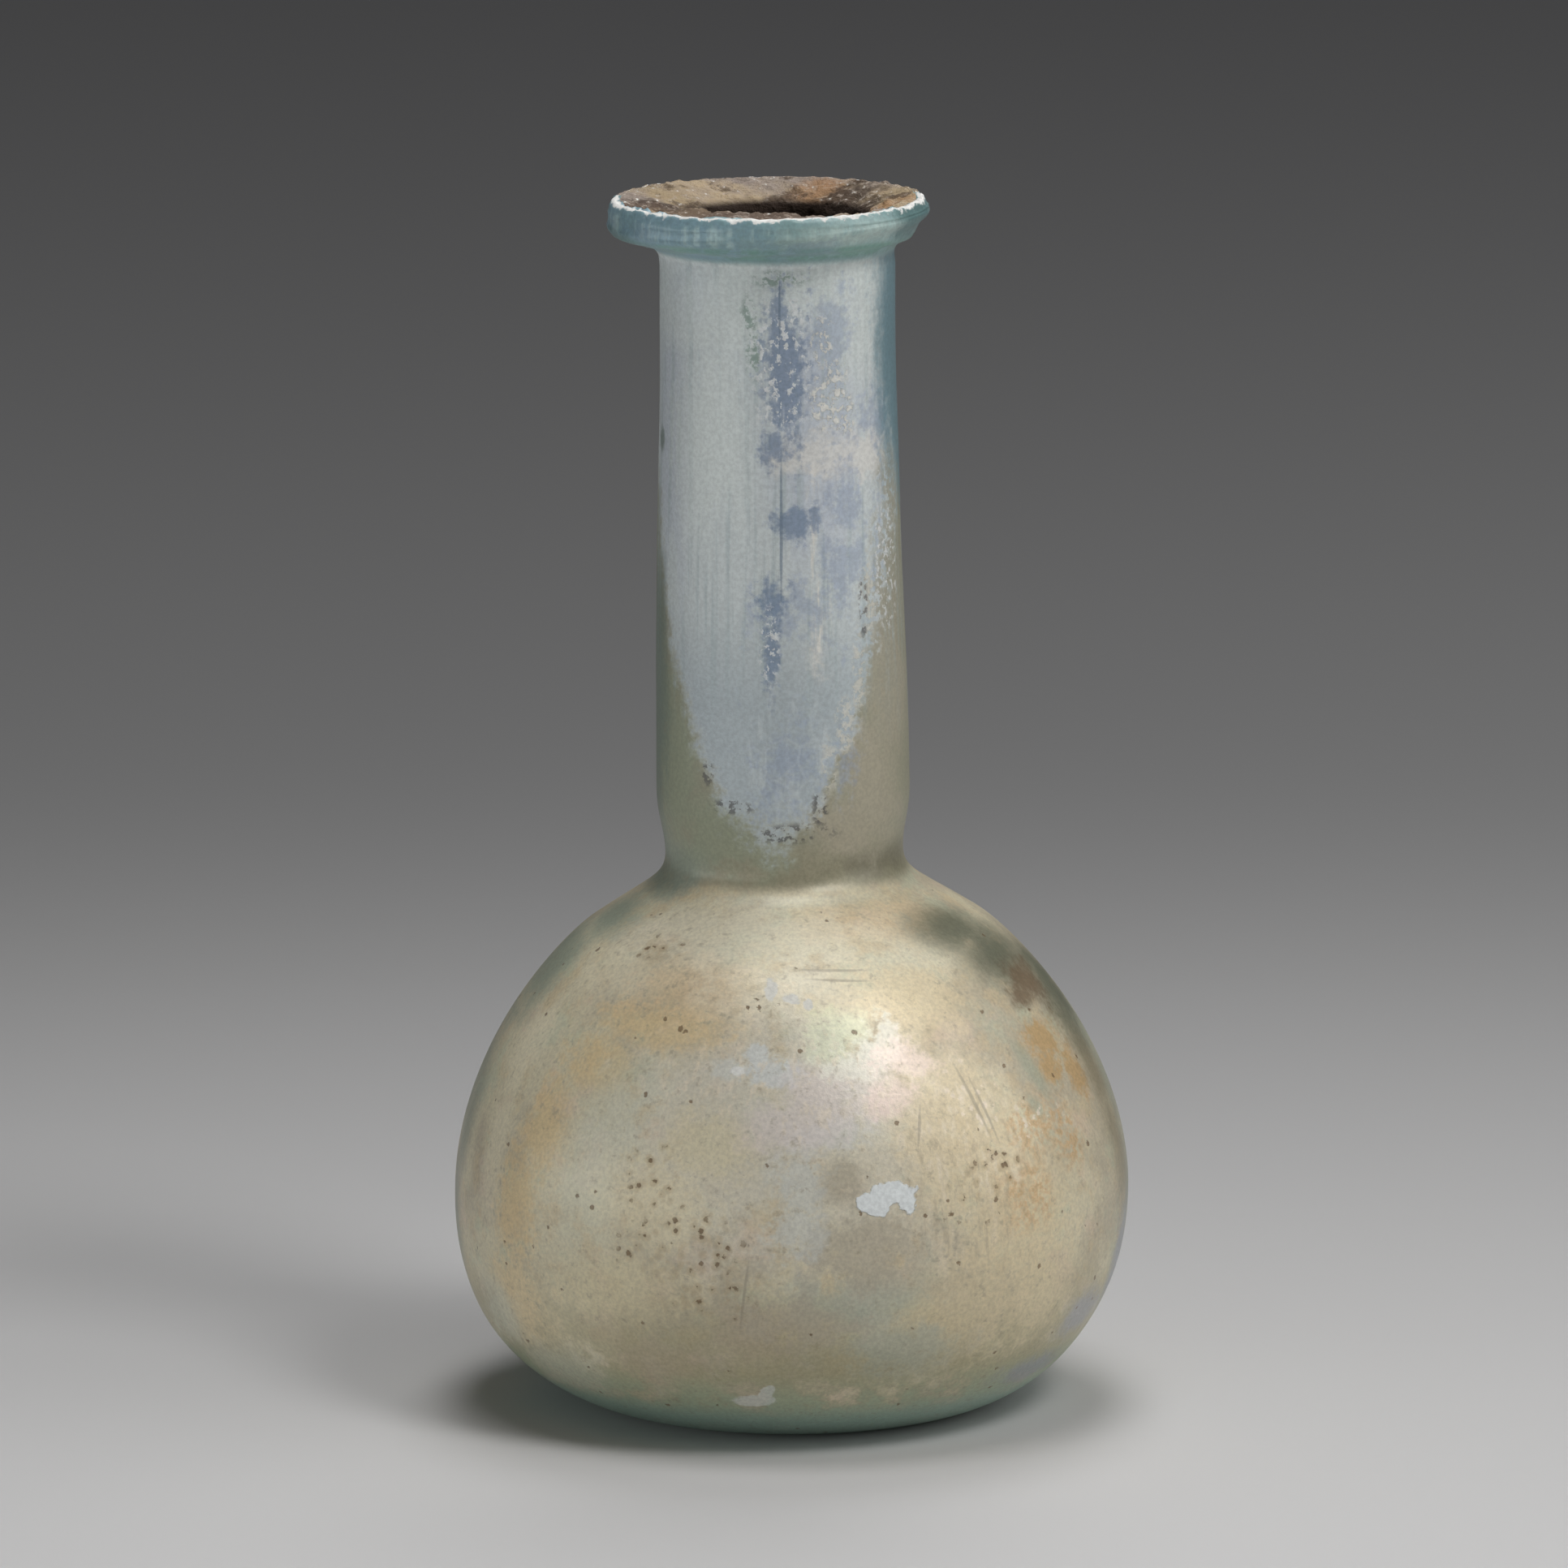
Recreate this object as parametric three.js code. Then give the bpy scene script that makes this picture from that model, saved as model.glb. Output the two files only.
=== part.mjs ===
// A free-blown glass unguentarium, a small ancient scent flask: rounded body, tall neck, folded rim.
// Millimetres, +Z up, standing on its underside, with the origin in the middle of that underside.
// The whole flask is one piece of glass, hollow and open at the mouth. It was blown and finished
// by hand, so it leans a little to -X, and its rim sits off centre and thins towards +X.
import * as THREE from "three";

// Driving dimensions. Radii are from the flask's own axis, heights from the surface it stands on.
const flaskHeight = 110;
const bellyRadius = 30.75;
const bellyHeight = 19.3;
const restingRadius = 16.2;
const kickRadius = 11;
const kickHeight = 0.8;
const shoulderRadius = 18;
const shoulderHeight = 44.1;
const shoulderSlope = THREE.MathUtils.degToRad(34);
const throatRadius = 10.8;
const throatHeight = 50.6;
const swellRadius = 11.5;
const swellHeight = 56.5;
const neckTopRadius = 10.6;
const neckTopHeight = 105;
const rimRadius = 14.45;
const rimBandHeight = 3.1;
const crestRadius = 13.7;
const mouthRadius = 8.4;
const mouthDrop = 1.3;

// Wall of the glass at the floor, the belly and the neck.
const floorThickness = 3;
const bellyWall = 1.5;
const neckWall = 1.9;

// How far the hand work is out of true.
const leanReach = 1.3;
const leanStart = 20;
const bodyTilt = THREE.MathUtils.degToRad(1.2);
const rimShift = 0.85;
const rimThinning = 1.25;
const ovalShare = 0.004;

// Fineness of the faceted skin.
const segmentsRound = 48;
const stepsLowerBody = 8;
const stepsUpperBody = 8;
const stepsThroat = 4;
const stepsNeck = 4;
const stepsKick = 3;

const point = (radius, height) => new THREE.Vector2(radius, height);
const bezier = (...corners) => new THREE.CubicBezierCurve(...corners);
const smooth = (value, from, to) => THREE.MathUtils.smoothstep(value, from, to);

// Joins curves end to end, each cut into its own number of steps, without repeating the joints.
function join(stretches) {
  const points = [stretches[0][0].getPoint(0)];
  for (const [curve, steps] of stretches) points.push(...curve.getPoints(steps).slice(1));
  return points;
}

// The underside: a shallow kick in the middle, inside the flat ring that the flask stands on.
function undersideOutline() {
  const kick = [];
  for (let i = 0; i <= stepsKick; i += 1) {
    const radius = (kickRadius * i) / stepsKick;
    kick.push(point(radius, (kickHeight * (1 + Math.cos((Math.PI * i) / stepsKick))) / 2));
  }
  return kick;
}

// The outside of the body and neck, from the edge of the resting ring to just under the rim.
function skinOutline() {
  const belly = point(bellyRadius, bellyHeight);
  const shoulder = point(shoulderRadius, shoulderHeight);
  const throat = point(throatRadius, throatHeight);
  const swell = point(swellRadius, swellHeight);
  const inward = point(-Math.cos(shoulderSlope), Math.sin(shoulderSlope));
  const along = (start, distance) => start.clone().addScaledVector(inward, distance);
  return join([
    [
      bezier(point(restingRadius, 0), point(restingRadius + 4, 0), point(bellyRadius, bellyHeight - 14.5), belly),
      stepsLowerBody,
    ],
    [bezier(belly, point(bellyRadius, bellyHeight + 11.6), along(shoulder, -4.3), shoulder), stepsUpperBody],
    [bezier(shoulder, along(shoulder, 6.4), point(throatRadius, throatHeight - 2.6), throat), stepsThroat],
    [bezier(throat, point(throatRadius, throatHeight + 2), point(swellRadius, swellHeight - 2.6), swell), 3],
    [
      bezier(swell, point(swellRadius, swellHeight + 9), point(neckTopRadius, 88), point(neckTopRadius, neckTopHeight)),
      stepsNeck,
    ],
  ]);
}

// The folded rim: a hollow fillet under it, an upright band, a rounded crest, and a top that
// falls away like a shallow funnel into the mouth.
function rimOutline() {
  const bandFoot = flaskHeight - rimBandHeight;
  const lip = flaskHeight - mouthDrop;
  return join([
    [
      bezier(
        point(neckTopRadius, neckTopHeight),
        point(neckTopRadius + 0.1, bandFoot - 0.6),
        point(rimRadius - 1.9, bandFoot - 0.3),
        point(rimRadius - 0.7, bandFoot),
      ),
      4,
    ],
    [
      bezier(
        point(rimRadius - 0.7, bandFoot),
        point(rimRadius - 0.1, bandFoot + 0.15),
        point(rimRadius, bandFoot + 0.5),
        point(rimRadius, bandFoot + 1),
      ),
      2,
    ],
    [
      bezier(
        point(rimRadius, bandFoot + 1),
        point(rimRadius, flaskHeight - 0.6),
        point(crestRadius + 0.4, flaskHeight),
        point(crestRadius, flaskHeight),
      ),
      3,
    ],
    [
      bezier(
        point(crestRadius, flaskHeight),
        point(crestRadius - 1.2, flaskHeight - 0.1),
        point(mouthRadius + 1.8, lip + 0.5),
        point(mouthRadius + 0.6, lip),
      ),
      3,
    ],
    [
      bezier(
        point(mouthRadius + 0.6, lip),
        point(mouthRadius + 0.1, lip - 0.2),
        point(mouthRadius, lip - 0.7),
        point(mouthRadius, lip - 1.4),
      ),
      2,
    ],
  ]);
}

// Thickness of the wall behind the skin at a height.
function wallAt(height) {
  const floorShare = 1 - smooth(height, 0, 12);
  const neckShare = smooth(height, 42, 56);
  return bellyWall + (floorThickness - bellyWall) * floorShare + (neckWall - bellyWall) * neckShare;
}

// The inside of the neck and body, a wall's thickness within the skin, from the neck down to the floor.
function hollowOutline(skin) {
  const inside = [];
  for (let i = 2; i < skin.length - 1; i += 2) {
    const run = skin[i + 1].clone().sub(skin[i - 1]).normalize();
    const inner = skin[i].clone().addScaledVector(point(-run.y, run.x), wallAt(skin[i].y));
    if (inner.y > floorThickness + 0.2) inside.push(inner);
  }
  inside.reverse();
  const corner = inside[inside.length - 1];
  inside.push(point(corner.x * 0.8, floorThickness), point(0, floorThickness));
  return inside;
}

// Bends the true revolved form as the hand work left it: the rings tilt, the axis wanders, the
// rim slips sideways and its band thins towards +X.
function asBlown(x, y, z) {
  const radius = Math.hypot(x, y);
  const facingX = radius > 0 ? x / radius : 0;
  const onBand = smooth(radius, rimRadius - 1.6, rimRadius - 0.5) * smooth(z, 105, 106.4);
  const lift = rimThinning * onBand * (1 - smooth(z, flaskHeight - 2.4, flaskHeight - 0.3)) * (1 + facingX) * 0.5;
  const tilt = bodyTilt * smooth(z, 0, 10) * (1 - 0.5 * smooth(z, 50, 100));
  const rise = THREE.MathUtils.clamp((z - leanStart) / (flaskHeight - leanStart), 0, 1);
  const slip = rimShift * smooth(z, neckTopHeight - 1, 107) * smooth(radius, mouthRadius, crestRadius);
  const centre = -leanReach * Math.sin((Math.PI / 2) * rise) - slip;
  const belly = smooth(z, 0, bellyHeight) * (1 - smooth(z, shoulderHeight, throatHeight));
  return [x + centre, y * (1 - ovalShare * belly), z + lift + x * Math.tan(tilt)];
}

// The flask as one closed skin, outside and inside, with its bounding box centred on the origin.
function flaskGeometry() {
  const skin = skinOutline();
  const outline = [...undersideOutline(), ...skin, ...rimOutline().slice(1), ...hollowOutline(skin)];
  const geometry = new THREE.LatheGeometry(outline, segmentsRound).rotateX(Math.PI / 2);
  const places = geometry.getAttribute("position");
  for (let i = 0; i < places.count; i += 1) {
    places.setXYZ(i, ...asBlown(places.getX(i), places.getY(i), places.getZ(i)));
  }
  geometry.computeBoundingBox();
  const middle = geometry.boundingBox.getCenter(new THREE.Vector3());
  geometry.translate(-middle.x, -middle.y, 0);
  geometry.computeVertexNormals();
  return geometry;
}

const weatheredGlass = new THREE.MeshStandardMaterial({ color: 0xa9a587, roughness: 0.35, metalness: 0.1 });

const flask = new THREE.Mesh(flaskGeometry(), weatheredGlass);
flask.name = "glass_flask";

const unguentarium = new THREE.Group();
unguentarium.add(flask);

export default unguentarium;
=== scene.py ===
import bpy
import math
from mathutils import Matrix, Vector, noise


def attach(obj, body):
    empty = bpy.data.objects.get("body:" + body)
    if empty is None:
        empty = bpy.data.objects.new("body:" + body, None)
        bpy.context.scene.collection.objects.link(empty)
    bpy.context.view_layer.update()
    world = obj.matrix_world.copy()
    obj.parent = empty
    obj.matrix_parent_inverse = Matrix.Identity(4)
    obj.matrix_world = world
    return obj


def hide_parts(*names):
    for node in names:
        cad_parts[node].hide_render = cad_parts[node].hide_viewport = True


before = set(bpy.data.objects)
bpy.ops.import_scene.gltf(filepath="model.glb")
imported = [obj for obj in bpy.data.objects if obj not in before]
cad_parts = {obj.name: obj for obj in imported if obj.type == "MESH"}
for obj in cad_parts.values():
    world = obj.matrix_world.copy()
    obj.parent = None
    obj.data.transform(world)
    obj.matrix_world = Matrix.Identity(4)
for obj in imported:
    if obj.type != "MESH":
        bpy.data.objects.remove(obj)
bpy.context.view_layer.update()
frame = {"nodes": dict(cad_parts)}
print("frame loaded:", ", ".join(frame["nodes"]))

mm = 0.001

view = {
    "place": (-0.7, -1121.1, 267.5),  # mm, in front of the flask and above it
    "pitchDown": 10.66,  # degrees below level
    "lens": 288.85, "sensor": 36,  # mm
    "near": 0.05, "far": 30,  # m
}

lamps = {  # places and sizes in mm, spreads in degrees, powers in watts
    "top": {
        "place": (30, 240, 640), "aim": (0, -400, 0), "size": (260, 260), "spread": 90,
        "power": 0.45, "tint": (1.0, 0.99, 0.99)},
    "front": {
        "place": (0, -60, 640), "aim": (0, -250, 0), "size": (260, 260), "spread": 90,
        "power": 0.35, "tint": (1.0, 0.99, 0.99)},
    "key": {
        "place": (360, -310, 640), "aim": (0, 0, 40), "size": (240, 240), "spread": 140,
        "power": 0.98, "tint": (1.0, 0.99, 0.98)},
    "left": {
        "place": (-950, -560, 150), "aim": (0, 0, 60), "size": (1700, 300), "spread": 180,
        "power": 2.9, "tint": (0.97, 0.99, 1.0)},
    "right": {
        "place": (900, -200, 500), "aim": (0, 0, 60), "size": (900, 900), "spread": 180,
        "power": 2.75, "tint": (1.0, 1.0, 1.0)},
}

studio = {
    "room": (0.038, 0.038, 0.040), "floorTone": 0.62, "floorRough": 0.85, "floorShine": 0.2,
    "floorHalf": 6000,  # mm
}


def deselectAll():
    for one in bpy.context.selected_objects:
        one.select_set(False)


def makeCamera():
    bpy.ops.object.camera_add(location=[mm * v for v in view["place"]])
    camera = bpy.context.object
    camera.name = "camera"
    camera.rotation_euler = (math.radians(90 - view["pitchDown"]), 0, 0)
    camera.data.lens = view["lens"]
    camera.data.sensor_width = view["sensor"]
    camera.data.clip_start = view["near"]
    camera.data.clip_end = view["far"]
    bpy.context.scene.camera = camera


def makeLamp(name, place, aim, size, spread, power, tint):
    place = Vector(place) * mm
    bpy.ops.object.light_add(type="AREA", location=place)
    lamp = bpy.context.object
    lamp.name = name
    lamp.rotation_euler = (Vector(aim) * mm - place).to_track_quat("-Z", "Y").to_euler()
    lamp.data.shape = "ELLIPSE" if size[0] == size[1] else "RECTANGLE"
    lamp.data.size, lamp.data.size_y = (mm * v for v in size)
    lamp.data.spread = math.radians(spread)
    lamp.data.energy = power
    lamp.data.color = tint
    lamp.visible_camera = False


def newMaterial(name):
    material = bpy.data.materials.new(name)
    material.use_nodes = True
    material.node_tree.nodes.clear()
    return material, material.node_tree


def addNode(tree, kind, inputs, **settings):
    made = tree.nodes.new("ShaderNode" + kind)
    for key, value in settings.items():
        setattr(made, key, value)
    for key, value in inputs.items():
        if isinstance(value, bpy.types.NodeSocket):
            tree.links.new(value, made.inputs[key])
        else:
            made.inputs[key].default_value = value
    return made


def sums(tree, operation, first, second=0.0, third=0.0):
    return addNode(tree, "Math", {0: first, 1: second, 2: third}, operation=operation).outputs[0]


def fade(tree, value, low, high, start=0.0, end=1.0):
    made = addNode(tree, "MapRange", {"Value": value, 1: low, 2: high, 3: start, 4: end},
                   interpolation_type="SMOOTHSTEP")
    return made.outputs[0]


def blend(tree, share, first, second):
    return addNode(tree, "Mix", {0: share, 2: first, 3: second}).outputs[0]


def tint(tree, share, under, over):
    below = under if isinstance(under, bpy.types.NodeSocket) else (*under, 1)
    made = addNode(tree, "Mix", {0: share, 6: below, 7: (*over, 1)}, data_type="RGBA")
    return made.outputs[2]


def makeFloor():
    deselectAll()
    bpy.ops.mesh.primitive_plane_add(size=2 * studio["floorHalf"] * mm)
    floor = bpy.context.object
    floor.name = "floor"
    material, tree = newMaterial("studio_floor")
    shader = addNode(tree, "BsdfPrincipled", {
        "Base Color": (*[studio["floorTone"]] * 3, 1), "Roughness": studio["floorRough"],
        "Specular IOR Level": studio["floorShine"]})
    addNode(tree, "OutputMaterial", {"Surface": shader.outputs[0]})
    floor.data.materials.append(material)


makeCamera()
makeFloor()
for lampName, lampValues in lamps.items():
    makeLamp(lampName, **lampValues)
world = bpy.data.worlds.new("studio")
world.use_nodes = True
world.node_tree.nodes["Background"].inputs[0].default_value = (*studio["room"], 1)
bpy.context.scene.world = world
bpy.context.scene.view_settings.view_transform = "Standard"
print("camera, floor and lights set")

# Sizes in mm. Radii are from the flask's own axis, heights from the surface it stands on.
flask = {
    "height": 110, "belly": (30.75, 19.3), "restingRadius": 16.2, "kick": (11, 0.8),
    "shoulder": (18, 44.1), "shoulderSlope": 34, "throat": (10.8, 50.6), "swell": (11.5, 56.5),
    "neckTop": (10.6, 105), "rimRadius": 14.45, "rimBand": 3.1, "crestRadius": 13.7,
    "mouthRadius": 8.4, "mouthDrop": 1.3, "floorWall": 3, "bellyWall": 1.5, "neckWall": 1.9,
    "floorThins": (0, 12), "neckThickens": (42, 56),  # heights between which the wall changes
    "lean": 1.3, "leanStart": 20, "rimShift": 0.85, "rimThinning": 1.25, "oval": 0.004,
    "bodyTilt": 1.2, "tiltStarts": (0, 10), "tiltEases": (50, 100),
    "soilFrom": 92, "soilStep": 0.45, "wallStep": 3,  # the mesh is finer where soil lies on it
    "segments": 240, "curveSteps": 12, "weld": 0.001,
}


def outlineStretches():
    f = flask
    belly, shoulder, throat, swell, neckTop = (
        Vector(f[k]) for k in ("belly", "shoulder", "throat", "swell", "neckTop"))
    slope = math.radians(f["shoulderSlope"])
    inward = Vector((-math.cos(slope), math.sin(slope)))
    top, rim, crest, bore = f["height"], f["rimRadius"], f["crestRadius"], f["mouthRadius"]
    foot, lip = top - f["rimBand"], top - f["mouthDrop"]
    kickRadius, kickHeight = f["kick"]
    skin = [  # start, its handle, the end's handle, end, steps
        ((0, kickHeight), (kickRadius * 0.36, kickHeight), (kickRadius * 0.64, 0), (kickRadius, 0), 14),
        ((kickRadius, 0), (12.5, 0), (15, 0), (f["restingRadius"], 0), 6),
        ((f["restingRadius"], 0), (f["restingRadius"] + 4, 0), belly - Vector((0, 14.5)), belly, 40),
        (belly, belly + Vector((0, 11.6)), shoulder - inward * 4.3, shoulder, 44),
        (shoulder, shoulder + inward * 6.4, throat - Vector((0, 2.6)), throat, 18),
        (throat, throat + Vector((0, 2)), swell - Vector((0, 2.6)), swell, 10),
        (swell, swell + Vector((0, 9)), (neckTop[0], 88), neckTop, 54),
    ]
    rimTurn = [
        (neckTop, (neckTop[0] + 0.1, foot - 0.6), (rim - 1.9, foot - 0.3), (rim - 0.7, foot), 14),
        ((rim - 0.7, foot), (rim - 0.1, foot + 0.15), (rim, foot + 0.5), (rim, foot + 1), 6),
        ((rim, foot + 1), (rim, top - 0.6), (crest + 0.4, top), (crest, top), 10),
        ((crest, top), (crest - 1.2, top - 0.1), (bore + 1.8, lip + 0.5), (bore + 0.6, lip), 22),
        ((bore + 0.6, lip), (bore + 0.1, lip - 0.2), (bore, lip - 0.7), (bore, lip - 1.4), 6),
    ]
    return skin, rimTurn


def bezierAt(start, out, back, end, t):
    s = 1 - t
    mix = (s ** 3, 3 * s * s * t, 3 * s * t * t, t ** 3)
    return Vector([sum(w * p[k] for w, p in zip(mix, (start, out, back, end))) for k in (0, 1)])


def smooth(value, low, high):
    t = min(max((value - low) / (high - low), 0), 1)
    return t * t * (3 - 2 * t)


def wallAt(height):
    f = flask
    floorShare = 1 - smooth(height, *f["floorThins"])
    neckShare = smooth(height, *f["neckThickens"])
    return f["bellyWall"] + (f["floorWall"] - f["bellyWall"]) * floorShare + (
        f["neckWall"] - f["bellyWall"]) * neckShare


def hollowPoints(skin):
    steps = flask["curveSteps"]
    points = [bezierAt(*s[:4], i / steps) for s in skin[2:] for i in range(steps)]
    inside = []
    for before, here, after in zip(points, points[1:], points[2:]):
        run = (after - before).normalized()
        inner = here + Vector((-run.y, run.x)) * wallAt(here.y)
        if inner.y > flask["floorWall"] + 0.2:
            inside.append(inner)
    inside.reverse()
    corner = inside[-1]
    return [*inside, Vector((corner.x * 0.8, flask["floorWall"])), Vector((0, flask["floorWall"]))]


def drawStretch(start, out, back, end, steps):
    bpy.ops.curve.primitive_bezier_curve_add()
    line = bpy.context.object
    first, last = line.data.splines[0].bezier_points
    for knot, place, handle in ((first, start, out), (last, end, back)):
        knot.handle_left_type = knot.handle_right_type = "FREE"
        knot.co = (place[0] * mm, 0, place[1] * mm)
        knot.handle_left = knot.handle_right = (handle[0] * mm, 0, handle[1] * mm)
    line.data.splines[0].resolution_u = steps
    deselectAll()
    line.select_set(True)
    bpy.ops.object.convert(target="MESH")
    return bpy.context.object


def spinOutline(name):
    skin, rimTurn = outlineStretches()
    stretches = [*skin, *rimTurn]
    inside = hollowPoints(skin)
    inside.insert(0, Vector(rimTurn[-1][3]))
    for a, b in zip(inside, inside[1:]):
        length = flask["soilStep" if a.y > flask["soilFrom"] else "wallStep"]
        steps = max(1, round((a - b).length / length))
        stretches.append((a, a.lerp(b, 1 / 3), a.lerp(b, 2 / 3), b, steps))
    lines = [drawStretch(*s) for s in stretches]
    deselectAll()
    for line in lines:
        line.select_set(True)
    bpy.context.view_layer.objects.active = lines[0]
    bpy.ops.object.join()
    body = bpy.context.object
    body.name = body.data.name = name
    bpy.ops.object.mode_set(mode="EDIT")
    bpy.ops.mesh.select_all(action="SELECT")
    bpy.ops.mesh.remove_doubles(threshold=flask["weld"] * mm)
    bpy.ops.mesh.spin(steps=flask["segments"], angle=2 * math.pi, center=(0, 0, 0), axis=(0, 0, 1))
    bpy.ops.mesh.select_all(action="SELECT")
    bpy.ops.mesh.remove_doubles(threshold=2 * flask["weld"] * mm)
    bpy.ops.mesh.normals_make_consistent(inside=False)
    bpy.ops.object.mode_set(mode="OBJECT")
    return body


def asBlown(x, y, z):
    f = flask
    radius = math.hypot(x, y)
    facingX = x / radius if radius > 0 else 0
    neckEnd = f["neckTop"][1]
    onBand = smooth(radius, f["rimRadius"] - 1.6, f["rimRadius"] - 0.5) * smooth(z, neckEnd, neckEnd + 1.4)
    upper = 1 - smooth(z, f["height"] - 2.4, f["height"] - 0.3)
    lift = f["rimThinning"] * onBand * upper * (1 + facingX) / 2
    tilt = math.radians(f["bodyTilt"]) * smooth(z, *f["tiltStarts"]) * (1 - 0.5 * smooth(z, *f["tiltEases"]))
    rise = min(max((z - f["leanStart"]) / (f["height"] - f["leanStart"]), 0), 1)
    onRim = smooth(z, neckEnd - 1, neckEnd + 2) * smooth(radius, f["mouthRadius"], f["crestRadius"])
    slip = f["rimShift"] * onRim
    centre = -f["lean"] * math.sin(math.pi / 2 * rise) - slip
    bellyShare = smooth(z, 0, f["belly"][1]) * (1 - smooth(z, f["shoulder"][1], f["throat"][1]))
    return x + centre, y * (1 - f["oval"] * bellyShare), z + lift + x * math.tan(tilt)


def skinRadius(height):
    skin = outlineStretches()[0]
    steps = flask["curveSteps"]
    points = [bezierAt(*s[:4], i / steps) for s in skin[2:] for i in range(steps + 1)]
    for a, b in zip(points, points[1:]):
        if a.y <= height < b.y:
            return a.x + (b.x - a.x) * (height - a.y) / (b.y - a.y)
    return points[0].x if height < points[0].y else points[-1].x


# A place on the flask is given by its turn in degrees, from the front towards +X, and its height in mm.
def onSkin(turn, height, radius=None):
    radius = skinRadius(height) if radius is None else radius
    angle = math.radians(turn)
    return Vector(asBlown(radius * math.sin(angle), -radius * math.cos(angle), height)) * mm


handwork = {  # mm, and noise cells per mm
    "uneven": 0.12, "unevenGrain": 0.07, "foldDepth": 0.07, "foldStep": 1.25, "foldsFrom": 106.2,
}

mouth = {  # mm, and tones
    "soilLayer": 0.1, "soilRelief": 0.28, "soilGrain": 0.9, "soilLump": 0.35,
    "crust": 1.0, "crustFront": (-1, 6), "crustRight": (0, 7), "crustUp": (106.8, 108.6),
    "crustIn": (0.9, 3.6),  # inwards from the crest: where it starts, and how far on it is full
    "chalkRaise": 0.25, "chalkReach": 0.5, "chalkRadius": 13.75, "chalkWide": 0.36,
    "chalkEnds": (0.8, 3.5), "chalkTips": 0.08, "chalkTipsFrom": (12.9, 13.7), "chalkDeep": (1.4, 0.9),
    "chalkRag": {"mottle": 0.5, "fine": 0.9}, "chalkSoft": 0.08, "chalkTone": (0.84, 0.84, 0.81),
    "chalkRough": 0.9,
    "soilDark": (0.08, 0.05, 0.03), "soilTan": (0.50, 0.39, 0.25), "soilGrey": (0.32, 0.265, 0.225),
    "soilCrumb": (0.50, 0.42, 0.34), "soilRough": 0.9, "soilBump": 0.3,
    "boreShade": (0.035, 0.02, 0.012), "boreShadeDepth": (1.0, 1.7),  # painted shade deep in the bore: its tone, and the mm below the top over which it fades in
}


def soilRelief(place, radius):
    grain = noise.fractal(place * mouth["soilGrain"], 0.6, 2.1, 5)
    lump = noise.noise(place * mouth["soilLump"] + Vector((3, 1, 7)))
    near = smooth(-place.y, *mouth["crustFront"]) * (1 - smooth(place.x, *mouth["crustRight"]))
    near *= smooth(place.z, *mouth["crustUp"])
    start, full = mouth["crustIn"]
    inwards = smooth(flask["crestRadius"] - start - radius, 0, full)
    crust = mouth["crust"] * near * inwards * (1 + 0.3 * lump)
    return mouth["soilLayer"] + crust + mouth["soilRelief"] * (grain * 0.8 + lump)


def surfaceRelief(x, y, z):
    radius = math.hypot(x, y)
    place = Vector((x, y, z))
    top = flask["height"]
    inThroat = z > flask["soilFrom"] and radius < flask["mouthRadius"] + 0.9
    if inThroat or z > top - 2.5 and radius < flask["crestRadius"] - 0.3:
        return soilRelief(place, radius)
    crest = 1 - min(abs(radius - flask["crestRadius"] - 0.15) / mouth["chalkReach"], 1)
    if z > top - 1 and crest > 0:
        uneven = 0.6 + 0.8 * noise.fractal(place * 0.8, 0.7, 2.1, 4)
        return crest * mouth["chalkRaise"] * max(uneven, 0.1)
    hand = noise.noise(place * handwork["unevenGrain"]) * handwork["uneven"] * smooth(z, 2, 9)
    if z > handwork["foldsFrom"] and radius > flask["rimRadius"] - 0.9:
        up = z + 0.3 * noise.noise(place * 0.2)
        hand += handwork["foldDepth"] * math.sin(up * 2 * math.pi / handwork["foldStep"])
    return hand


glassFlask = spinOutline("flask_body")
mesh = glassFlask.data
mesh.update()
trueForm = [v.co / mm for v in mesh.vertices]  # before the unevenness of hand work, in mm
outward = [v.normal.copy() for v in mesh.vertices]
for vertex, form, normal in zip(mesh.vertices, trueForm, outward):
    form = form + normal * surfaceRelief(*form)
    vertex.co = Vector(asBlown(*form)) * mm
bpy.ops.object.shade_smooth()
print("flask turned:", len(mesh.polygons), "faces")

# Plain values of the glass itself, of the film inside, and of a layer that doesn't say otherwise.
glass = {
    "tone": (0.60, 0.53, 0.39), "clear": 0.14, "rough": 0.47, "metal": 0.10, "coat": 0.13, "coatRough": 0.26,
    "stain": (0.46, 0.80, 0.78), "stainDensity": 130, "ior": 1.5,
    "relief": {"mottle": 0.08, "fine": 0.03, "grain": 0.008},  # mm
    "bump": 0.8, "speckle": (0.91, 1.08),
}
innerFilm = {"dark": (0.45, 0.38, 0.25), "light": (0.62, 0.55, 0.40), "rough": 0.7, "bump": 0.1}
usual = {
    "spots": [], "radius": None,  # no radius stated: on the skin
    "deep": 4,  # mm that a spot reaches into the glass
    "rag": ("mottle", 0.5), "crumb": 0.8, "soft": 0.2,
    "strength": 1.0, "clear": 0.08, "rough": 0.40, "metal": 0.14,
}

grains = {  # scale per metre, detail, roughness, stretch along x, y, z
    "cloud": (75, 7, 0.62, (1, 1, 1)),
    "drift": (140, 6, 0.62, (1, 1, 1.3)),
    "mottle": (260, 7, 0.68, (1, 1, 1)),
    "fine": (1250, 4, 0.65, (1, 1, 1.1)),
    "crumbs": (1750, 4, 0.62, (1, 1, 0.85)),
    "grain": (2900, 3, 0.6, (1, 1, 1)),
    "streak": (1300, 5, 0.6, (1, 1, 0.04)),
    "brush": (1000, 4, 0.6, (1, 1, 0.18)),
    "wipe": (330, 6, 0.65, (1, 1, 0.16)),
}
cells = {  # cells per metre, feature, unevenness taken from the fine grain
    "crackle": (420, "DISTANCE_TO_EDGE", 0),
    "dots": (950, "F1", 1.1),
    "specks": (340, "F1", 0.35),
}
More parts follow.
